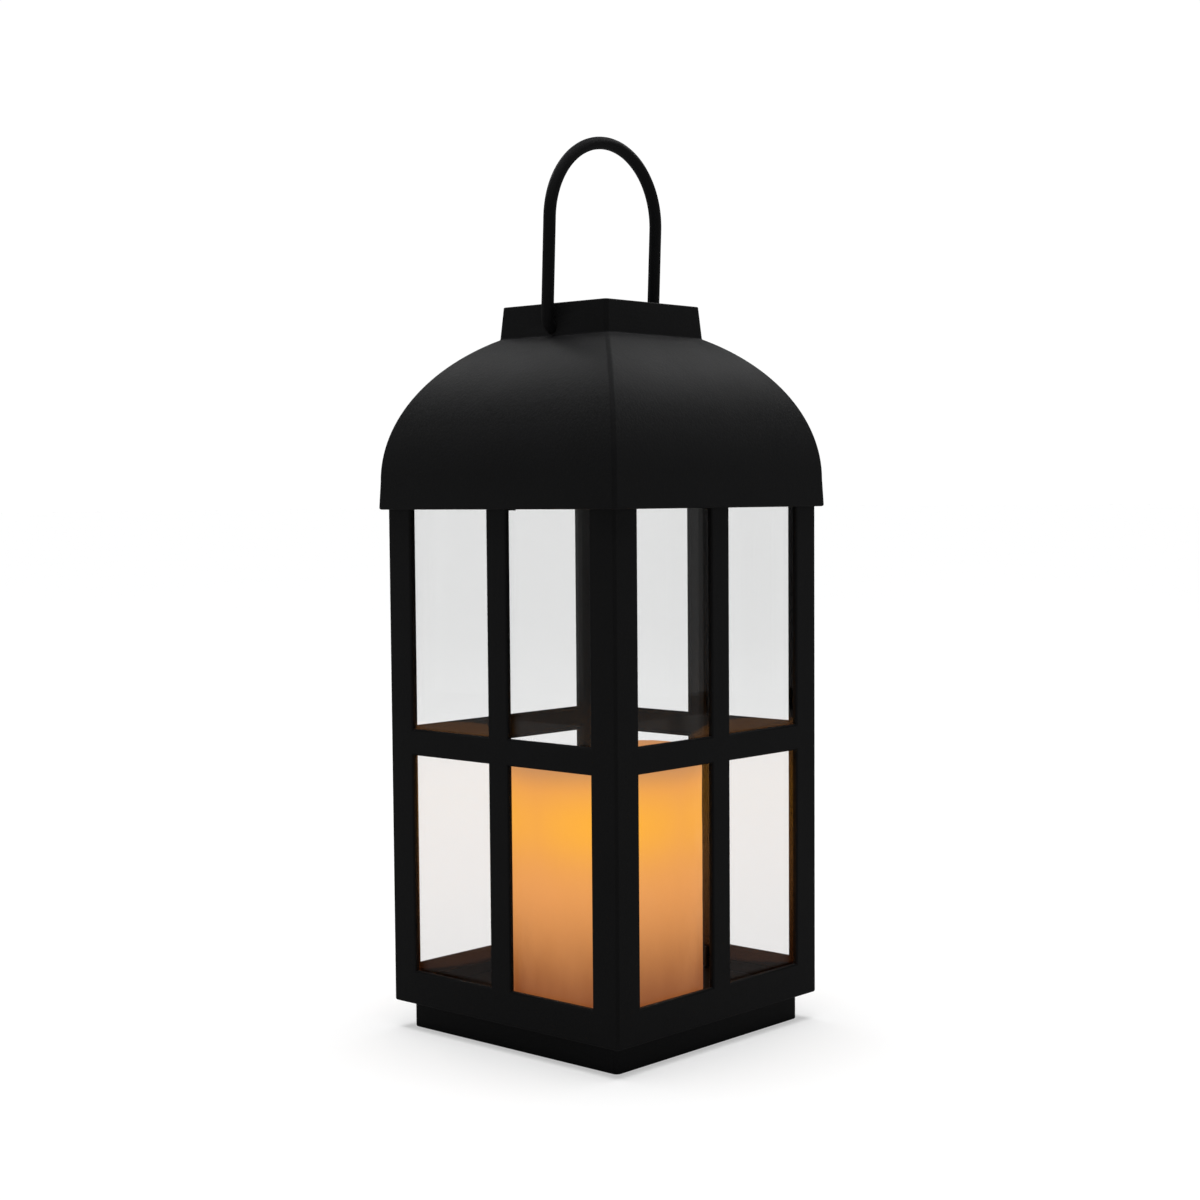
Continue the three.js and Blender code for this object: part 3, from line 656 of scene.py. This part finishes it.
def plinth_shell():
    edge = 0.5
    nick = 0.15
    crease = 0.3
    inner_half = PLINTH_HALF - SHEET
    under = PLINTH_TOP - SHEET
    section = [(inner_half, PLINTH_INNER_CORNER, nick), (inner_half + nick, 1.0, 0.0)]
    section += [(h, PLINTH_CORNER, z) for h, z in arc((PLINTH_HALF - edge, edge), edge, -90, 0, 4)]
    upper = arc((PLINTH_HALF - edge, PLINTH_TOP - edge), edge, 0, 90, 4)
    section += [(h, PLINTH_CORNER, z) for h, z in upper]
    section += [(PLINTH_OPENING, 0.5, PLINTH_TOP), (PLINTH_OPENING, 0.5, under)]
    section += [(inner_half - crease, 0.7, under), (inner_half, PLINTH_INNER_CORNER, under - crease)]
    weigh_normals(square_shell("plinth_shell", section, "black_steel", ["plinth"]))


# ------------------------------------------------------------------ the bail
def bail_path():
    """(y, z) along the wire, from one foot over the arch to the other, while it stands upright."""
    path = [(-HANDLE_END, HANDLE_PIVOT_Z), (-(HANDLE_END + 1.0), HANDLE_PIVOT_Z)]
    bend_center = (-(HANDLE_SPREAD - HANDLE_BEND), HANDLE_PIVOT_Z + HANDLE_BEND)
    path += arc(bend_center, HANDLE_BEND, -90, -180, 10)
    steps = 10
    leg = HANDLE_ARCH_Z - bend_center[1]
    path += [(-HANDLE_SPREAD, bend_center[1] + leg * i / steps) for i in range(1, steps)]
    path += arc((0, HANDLE_ARCH_Z), HANDLE_SPREAD, 180, 90, 32)
    path += [(-y, z) for y, z in reversed(path[:-1])]
    return path


def bail():
    sides = 28
    points, faces, rings = [], [], []
    spine = [Vector((0, y, z)) for y, z in bail_path()]
    across = Vector((1, 0, 0))

    def add_ring(center, tangent, radius):
        outwards = across.cross(tangent).normalized()
        rings.append(len(points))
        for i in range(sides):
            turn = 2 * math.pi * i / sides
            spoke = across * (radius * math.cos(turn)) + outwards * (radius * math.sin(turn))
            points.append(center + spoke)

    last = len(spine) - 1
    for i, center in enumerate(spine):
        tangent = (spine[min(i + 1, last)] - spine[max(i - 1, 0)]).normalized()
        if i == 0:
            for along, rounded in WIRE_END:
                add_ring(center + tangent * along, tangent, WIRE_RADIUS - rounded)
        elif i == last:
            for along, rounded in reversed(WIRE_END):
                add_ring(center - tangent * along, tangent, WIRE_RADIUS - rounded)
        else:
            add_ring(center, tangent, WIRE_RADIUS)
    for first, second in zip(rings, rings[1:]):
        faces.extend(bridge(sides, first, second))
    faces.append(tuple(reversed(range(rings[0], rings[0] + sides))))
    faces.append(tuple(range(rings[-1], rings[-1] + sides)))
    pivot = Vector((0, 0, HANDLE_PIVOT_Z))
    lean = Matrix.Rotation(HANDLE_LEAN, 3, "Y")
    points = [lean @ (point - pivot) + pivot for point in points]
    piece("bail", points, faces, "black_steel", ["handle"], body="handle")


# ------------------------------------------------------------------ round pieces
def lathe(name, profile, segments, slot, nodes, shape, sharp):
    """A (radius, z) profile from axis to axis turned about Z, then moved point by point by shape."""
    points, faces, rows = [], [], []
    for radius, z in profile:
        start = len(points)
        if radius < 1e-6:
            points.append(Vector((0, 0, z)))
            rows.append((start, 1))
            continue
        for i in range(segments):
            turn = 2 * math.pi * i / segments
            points.append(Vector((radius * math.cos(turn), radius * math.sin(turn), z)))
        rows.append((start, segments))
    for (first, a), (second, b) in zip(rows, rows[1:]):
        if a == 1:
            faces += [(first, second + (i + 1) % segments, second + i) for i in range(segments)]
        elif b == 1:
            faces += [(first + i, first + (i + 1) % segments, second) for i in range(segments)]
        else:
            faces += bridge(segments, first, second)
    piece(name, [shape(p) for p in points], faces, slot, nodes, sharp=sharp)


def smoothstep(value, low, high):
    t = min(max((value - low) / (high - low), 0.0), 1.0)
    return t * t * (3 - 2 * t)


def rim_lobe(turn, at, narrow, rise):
    return rise * math.exp(narrow * (math.cos(math.radians(turn - at)) - 1))


def candle_profile():
    """(radius, z) from the hollow's ceiling, down its wall, up the outside and over the rim to the pool."""
    hollow = CANDLE_RADIUS - CANDLE_WALL
    profile = [(radius, HOLLOW_TOP) for radius in (0, 10, 20, hollow - 4)]
    profile += [(hollow, HOLLOW_TOP - 4), (hollow, 60), (hollow, CANDLE_FOOT)]
    profile += [(CANDLE_RADIUS - 0.8, CANDLE_FOOT), (CANDLE_RADIUS - 0.25, CANDLE_FOOT + 0.25)]
    steps = 34
    low = CANDLE_FOOT + 0.9
    high = CANDLE_RIM - 1.6
    profile += [(CANDLE_RADIUS, low + (high - low) * i / steps) for i in range(steps + 1)]
    # the rounded rim: (inwards from the outside, down from the rim)
    rim = [(0.12, 0.95), (0.45, 0.35), (0.95, 0.05), (1.5, 0.0), (2.1, 0.25), (2.8, 0.95)]
    rim += [(3.7, 2.3), (5.0, 4.1), (7.0, 5.9), (10.0, 7.3)]
    profile += [(CANDLE_RADIUS - inwards, CANDLE_RIM - down) for inwards, down in rim]
    # the pool inside it: (radius, down from the rim)
    pool = [(20, 8.1), (12, 8.4), (5, 8.5), (0, 8.5)]
    profile += [(radius, CANDLE_RIM - down) for radius, down in pool]
    return profile


def melted(p):
    """Moves a point of the candle: an uneven rim, and a skin that swells and sinks a little."""
    radius = math.hypot(p.x, p.y)
    if radius < 0.01:
        return p
    turn = math.degrees(math.atan2(p.y, p.x))
    low, high = (CANDLE_RIM - depth for depth in RIM_UNDER)
    rim = smoothstep(radius, *RIM_INSIDE) * smoothstep(p.z, low, high)
    wave = rim_lobe(turn, *RIM_CREST) + rim_lobe(turn, *RIM_NOTCH)
    wave += 0.3 * noise.noise(Vector((p.x, p.y, 0)) * 0.11)
    wave += 0.15 * noise.noise(Vector((p.x, p.y, 9)) * 0.3)
    skin = smoothstep(radius, CANDLE_RADIUS - 6, CANDLE_RADIUS - 1)
    swell = 0.16 * noise.noise(p * 0.05) + 0.05 * noise.noise(p * 0.2) - 0.16
    scale = 1 + skin * swell / radius
    return Vector((p.x * scale, p.y * scale, p.z + rim * wave))


def wax_pillar():
    lathe("wax_pillar", candle_profile(), 144, "wax", ["candle_shell"], melted, 80.0)


def cross_screw(name, node):
    """A pan-head screw with a cross recess, its head facing down."""
    low, high = (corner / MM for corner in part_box(node))
    center = Vector(((low.x + high.x) / 2, (low.y + high.y) / 2, 0))
    head = (high.x - low.x) / 2
    shank = head * 0.52
    top = low.z + 1.25
    profile = [(0, low.z)]
    profile += [(head * 0.06 * i, low.z + 0.02) for i in range(1, 11)]
    profile += [(head * 0.75, low.z + 0.06), (head * 0.88, low.z + 0.2), (head * 0.97, low.z + 0.45)]
    profile += [(head, low.z + 0.75), (head, top), (shank, top)]
    thread = top + 0.4
    while thread < high.z - 2 * SCREW_PITCH:
        profile += [(shank, thread), (shank * 0.8, thread + SCREW_PITCH / 2)]
        thread += SCREW_PITCH
    profile += [(shank * 0.3, high.z), (0, high.z)]

    def recessed(p):
        reach = math.hypot(p.x, p.y) / head
        arm = min(abs(p.x), abs(p.y)) / head
        if p.z < low.z + 0.1 and reach < RECESS_REACH and arm < RECESS_ARM:
            return Vector((p.x, p.y, p.z + RECESS_DEPTH * (1 - 0.4 * reach))) + center
        return p + center

    lathe(name, profile, 48, "plated_steel", [node], recessed, 35.0)


# ------------------------------------------------------------------ the solar module
def solar_cells():
    """Strips of silicon with their printed busbars and fingers, on the module's backing."""
    low, high = (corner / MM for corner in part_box("solar_panel"))
    points, faces, marks = [], [], []
    silicon_mark, backing_mark, silver_mark = 0, 1, 2

    def box(x, y, z, mark, edge):
        """A block over three (low, high) spans, its top narrower by edge all round."""
        start = len(points)
        for level, pull in ((z[0], 0.0), (z[1], edge)):
            points.append((x[0] + pull, y[0] + pull, level))
            points.append((x[1] - pull, y[0] + pull, level))
            points.append((x[1] - pull, y[1] - pull, level))
            points.append((x[0] + pull, y[1] - pull, level))
        quads = [(3, 2, 1, 0), (4, 5, 6, 7), (0, 1, 5, 4), (1, 2, 6, 5), (2, 3, 7, 6), (3, 0, 4, 7)]
        faces.extend(tuple(start + i for i in quad) for quad in quads)
        marks.extend([mark] * len(quads))

    margin = 1.3
    gap = 0.4
    backing = high.z - 0.35
    cell_top = backing + 0.2
    finger_top = backing + 0.235
    busbar_top = backing + 0.27
    near, far = low.y + margin, high.y - margin
    box((low.x, high.x), (low.y, high.y), (low.z, backing), backing_mark, 0.1)
    strips = 6
    fingers = 17
    pitch = (high.x - low.x - 2 * margin) / strips
    for i in range(strips):
        left = low.x + margin + pitch * i + gap / 2
        right = left + pitch - gap
        middle = (left + right) / 2
        box((left, right), (near, far), (backing, cell_top), silicon_mark, 0.03)
        box((middle - 0.35, middle + 0.35), (near, far), (cell_top, busbar_top), silver_mark, 0.02)
        for k in range(fingers):
            y = near + 1.0 + (far - near - 2.0) * k / (fingers - 1)
            finger = (y - 0.05, y + 0.05)
            box((left + 0.15, right - 0.15), finger, (cell_top, finger_top), silver_mark, 0.01)
    made = piece("solar_cells", points, faces, "solar_cell", ["solar_panel"])
    made.data.materials.append(LOOKS["black_plastic"])
    made.data.materials.append(LOOKS["plated_steel"])
    for polygon, mark in zip(made.data.polygons, marks):
        polygon.material_index = mark


# ------------------------------------------------------------------ CAD nodes that keep their shape
BEVELS = {
    "solar_tray": 0.3,
    "solar_cover": 0.35,
    "candle_base": 0.2,
    "floor_tray": 0.15,
    "bottom_cover": 0.1,
    "battery_box": 0.25,
    "battery_cover": 0.3,
    "battery_contact": 0.08,
    "circuit_board": 0.1,
    "switch_body": 0.12,
    "switch_slider": 0.15,
    "led_board": 0.15,
}
for side in SIDES:
    BEVELS[f"glass_{side}"] = 0.2
    BEVELS[f"glass_clip_lower_{side}"] = 0.1
    BEVELS[f"glass_clip_upper_{side}"] = 0.1


def dress(node):
    """A CAD node's material, smooth normals and, where BEVELS has one, a bevel on its sharp edges."""
    kept = frame["nodes"][node]
    kept.data.materials.clear()
    kept.data.materials.append(LOOKS[SLOT_OF[node]])
    weld = kept.modifiers.new("Weld", "WELD")
    weld.merge_threshold = 1e-5
    if node in BEVELS:
        flat = kept.modifiers.new("Flats", "DECIMATE")
        flat.decimate_type = "DISSOLVE"
        flat.angle_limit = math.radians(1.5)
        edges = kept.modifiers.new("Edges", "BEVEL")
        edges.width = BEVELS[node] * MM
        edges.segments = 2
        edges.limit_method = "ANGLE"
        edges.angle_limit = math.radians(35)
        edges.harden_normals = False
    weigh_normals(kept, keep_sharp=False)


body_shell()
roof_shell()
neck()
plinth_shell()
bail()
wax_pillar()
solar_cells()
for number in (1, 2, 3, 4):
    cross_screw(f"base_screw_{number}", f"bottom_screw_{number}")
for number in (1, 2):
    cross_screw(f"lid_screw_{number}", f"battery_screw_{number}")
for node in frame["nodes"]:
    if not frame["nodes"][node].hide_render:
        dress(node)


# ------------------------------------------------------------------ floor, light and camera
def unbounced(tree):
    """1 on a ray that has met nothing but glass since the eye, or else 0."""
    path = tree.nodes.new("ShaderNodeLightPath")
    bounces = tree.nodes.new("ShaderNodeMath")
    tree.links.new(path.outputs["Diffuse Depth"], bounces.inputs[0])
    tree.links.new(path.outputs["Glossy Depth"], bounces.inputs[1])
    direct = tree.nodes.new("ShaderNodeMath")
    direct.operation = "LESS_THAN"
    direct.inputs[1].default_value = 0.5
    tree.links.new(bounces.outputs[0], direct.inputs[0])
    return direct.outputs[0]


def pale_paper():
    """Nearly white to the eye but dim to the lantern, and clear from below to show the underside."""
    look = Look("pale_floor", (0.5, 0.5, 0.5), 0.9, Specular_IOR_Level=0.0)
    direct = unbounced(look.tree)
    grain = look.mix(look.noise(3.0), (0.495, 0.495, 0.495), (0.505, 0.505, 0.505))
    look.color(look.mix(direct, (0.09, 0.09, 0.09), grain))
    look.set("Emission Color", (1.0, 1.0, 1.0, 1.0))
    look.link(look.remap(direct, 0.0, 1.0, 0.03, 0.475), look.shader.inputs["Emission Strength"])
    below = look.node("ShaderNodeMixShader")
    look.link(look.node("ShaderNodeNewGeometry").outputs["Backfacing"], below.inputs[0])
    look.link(look.shader.outputs[0], below.inputs[1])
    look.link(look.node("ShaderNodeBsdfTransparent").outputs[0], below.inputs[2])
    look.link(below.outputs[0], look.tree.nodes["Material Output"].inputs["Surface"])
    return look.material


def lay_floor():
    reach = FLOOR_REACH
    mesh = bpy.data.meshes.new("floor")
    corners = [(-reach, -reach, 0), (reach, -reach, 0), (reach, reach, 0), (-reach, reach, 0)]
    mesh.from_pydata(corners, [], [(0, 1, 2, 3)])
    mesh.materials.append(pale_paper())
    floor = bpy.data.objects.new("floor", mesh)
    scene.collection.objects.link(floor)


def light_world():
    """White to the eye, and dim to everything else."""
    made = bpy.data.worlds.new("studio")
    scene.world = made
    made.use_nodes = True
    tree = made.node_tree
    nodes, links = tree.nodes, tree.links
    dim = nodes["Background"]
    dim.inputs["Color"].default_value = (0.9, 0.95, 1.0, 1.0)
    dim.inputs["Strength"].default_value = 0.035
    bright = nodes.new("ShaderNodeBackground")
    bright.inputs["Color"].default_value = (1, 1, 1, 1)
    bright.inputs["Strength"].default_value = 1.02
    mixed = nodes.new("ShaderNodeMixShader")
    links.new(unbounced(tree), mixed.inputs[0])
    links.new(dim.outputs[0], mixed.inputs[1])
    links.new(bright.outputs[0], mixed.inputs[2])
    links.new(mixed.outputs[0], nodes["World Output"].inputs["Surface"])


def around(azimuth, distance, height):
    turn = math.radians(azimuth)
    return Vector((math.sin(turn) * distance, -math.cos(turn) * distance, height))


def area(name, azimuth, distance, height, size, energy):
    """A rectangular lamp aimed at the lantern's middle."""
    data = bpy.data.lights.new(name, "AREA")
    data.shape = "RECTANGLE"
    data.size, data.size_y = size
    data.energy = energy
    made = bpy.data.objects.new(name, data)
    scene.collection.objects.link(made)
    made.location = around(azimuth, distance, height)
    made.rotation_mode = "QUATERNION"
    made.rotation_quaternion = (Vector((0, 0, 0.17)) - made.location).to_track_quat("-Z", "Y")


def overhead():
    """Soft light from straight above, which shades the dome and leaves the upright sides dark."""
    data = bpy.data.lights.new("overhead", "SUN")
    data.energy = 3.2
    data.angle = math.radians(40)
    sun = bpy.data.objects.new("overhead", data)
    scene.collection.objects.link(sun)
    sun.visible_glossy = False


def place_camera():
    data = bpy.data.cameras.new("camera")
    data.sensor_width = SENSOR_WIDTH
    data.lens = FOCAL_LENGTH
    data.shift_x, data.shift_y = VIEW_SHIFT
    data.clip_start, data.clip_end = 0.01, 100.0
    camera = bpy.data.objects.new("camera", data)
    scene.collection.objects.link(camera)
    scene.camera = camera
    turn, pitch, roll = (math.radians(angle) for angle in (VIEW_AZIMUTH, VIEW_PITCH, VIEW_ROLL))
    level = Vector((math.cos(turn), math.sin(turn), 0))
    ahead = Vector((-math.sin(turn), math.cos(turn), 0))
    forward = ahead * math.cos(pitch) - Vector((0, 0, math.sin(pitch)))
    upright = level.cross(forward)
    right = level * math.cos(roll) + upright * math.sin(roll)
    up = upright * math.cos(roll) - level * math.sin(roll)
    place = Matrix.Translation(around(VIEW_AZIMUTH, VIEW_DISTANCE, VIEW_HEIGHT))
    camera.matrix_world = place @ Matrix((right, up, -forward)).transposed().to_4x4()


lay_floor()
light_world()
overhead()
area("left_card", VIEW_AZIMUTH - 105, 1.2, 0.5, (0.8, 1.2), 0.27)
area("right_card", VIEW_AZIMUTH + 105, 1.2, 0.5, (0.8, 1.2), 0.24)
area("left_box", VIEW_AZIMUTH - 138, 1.1, 1.15, (0.6, 0.6), 2.1)
area("right_box", VIEW_AZIMUTH + 138, 1.1, 1.15, (0.6, 0.6), 1.9)
area("top_box", VIEW_AZIMUTH, 0.01, 1.9, (1.6, 1.6), 2.4)
place_camera()
scene.view_settings.view_transform = "Standard"
scene.view_settings.look = "None"
